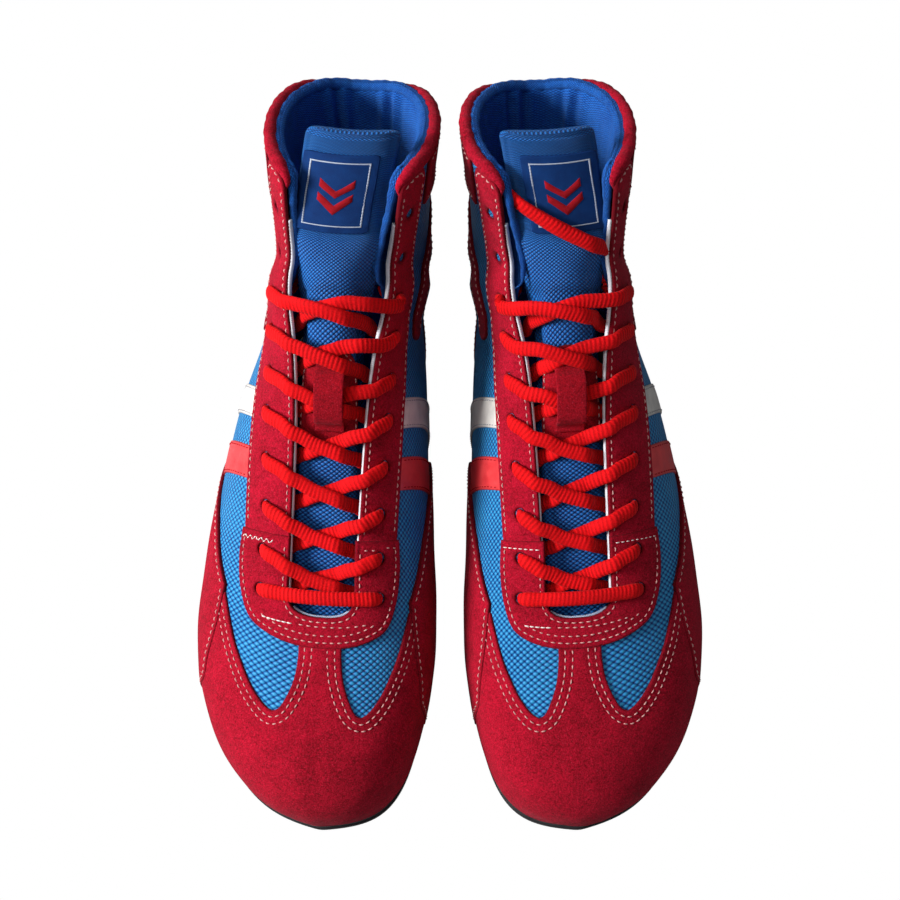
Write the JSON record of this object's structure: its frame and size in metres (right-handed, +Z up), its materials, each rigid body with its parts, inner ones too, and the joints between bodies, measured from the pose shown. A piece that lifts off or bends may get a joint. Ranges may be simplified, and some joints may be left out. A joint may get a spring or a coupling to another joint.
{
  "type": "boxing boots",
  "caption": "Pair of lace-up ankle-height boxing boots: suede overlays on a mesh upper, striped sides, padded knit collar and tongue, flat rubber soles.",
  "frame": {"origin": "on the floor, midway between the two boots and midway along their length", "axes": "+Z up, toes towards -Y, the wearer's right boot on the -X side and the left boot on the +X side"},
  "size_m": [0.224, 0.2854, 0.1928],
  "materials": {
    "suede": "crimson suede, short nap",
    "mesh": "royal blue open mesh",
    "knit": "royal blue brushed knit over foam",
    "vinyl_white": "off-white vinyl, grey edge stitching",
    "vinyl_red": "coral red vinyl, dark red edge stitching",
    "tape": "white binding tape",
    "rubber": "black rubber",
    "foam": "black moulded foam",
    "board": "fibre board",
    "label": "woven label, plain border and emblem",
    "lace": "bright red ribbed lace"
  },
  "bodies": {
    "right_boot": {"right_outsole": "rubber", "right_midsole": "foam", "right_lasting_board": "board", "right_vamp_mesh": "mesh", "right_quarter_mesh_lateral": "mesh", "right_quarter_mesh_medial": "mesh", "right_toe_cap": "suede", "right_throat_apron": "suede", "right_eyestay_lateral": "suede", "right_eyestay_medial": "suede", "right_throat_tape_lateral": "tape", "right_throat_tape_medial": "tape", "right_side_panel_lateral": "suede", "right_side_panel_medial": "suede", "right_heel_counter": "suede", "right_ankle_strap": "suede", "right_collar_band": "suede", "right_collar_lining": "knit", "right_lining": "knit", "right_white_stripes": "vinyl_white", "right_red_stripes": "vinyl_red", "right_tongue_lower": "mesh", "right_keeper_patch": "suede", "right_lace_keeper": "suede", "right_lace": "lace", "right_toe_puff": "board", "right_heel_stiffener": "board"},
    "right_tongue": {"right_tongue_upper": "mesh", "right_tongue_label": "label"},
    "right_insole": {"right_sock_liner": "knit"},
    "left_boot": {"left_outsole": "rubber", "left_midsole": "foam", "left_lasting_board": "board", "left_vamp_mesh": "mesh", "left_quarter_mesh_lateral": "mesh", "left_quarter_mesh_medial": "mesh", "left_toe_cap": "suede", "left_throat_apron": "suede", "left_eyestay_lateral": "suede", "left_eyestay_medial": "suede", "left_throat_tape_lateral": "tape", "left_throat_tape_medial": "tape", "left_side_panel_lateral": "suede", "left_side_panel_medial": "suede", "left_heel_counter": "suede", "left_ankle_strap": "suede", "left_collar_band": "suede", "left_collar_lining": "knit", "left_lining": "knit", "left_white_stripes": "vinyl_white", "left_red_stripes": "vinyl_red", "left_tongue_lower": "mesh", "left_keeper_patch": "suede", "left_lace_keeper": "suede", "left_lace": "lace", "left_toe_puff": "board", "left_heel_stiffener": "board"},
    "left_tongue": {"left_tongue_upper": "mesh", "left_tongue_label": "label"},
    "left_insole": {"left_sock_liner": "knit"}
  },
  "joints": [
    {"name": "right_tongue_fold", "type": "hinge", "parent": "right_boot", "child": "right_tongue", "pos_m": [-0.04375, 0.05234, 0.14018], "axis": [-0.9976, 0.0698, 0], "range_deg": [0, 18], "stiffness_Nm_per_rad": 0.12},
    {"name": "right_insole_lift", "type": "hinge", "parent": "right_boot", "child": "right_insole", "pos_m": [-0.0547, -0.1319, 0.0104], "axis": [0.9976, -0.0698, 0], "range_deg": [0, 6]},
    {"name": "left_tongue_fold", "type": "hinge", "parent": "left_boot", "child": "left_tongue", "pos_m": [0.04375, 0.05234, 0.14018], "axis": [-0.9976, -0.0698, 0], "range_deg": [0, 18], "stiffness_Nm_per_rad": 0.12},
    {"name": "left_insole_lift", "type": "hinge", "parent": "left_boot", "child": "left_insole", "pos_m": [0.0547, -0.1319, 0.0104], "axis": [0.9976, 0.0698, 0], "range_deg": [0, 6]},
    {"name": "left_boot_set_apart", "type": "slide", "parent": "right_boot", "child": "left_boot", "axis": [1, 0, 0], "range_m": [0, 0.12]}
  ]
}
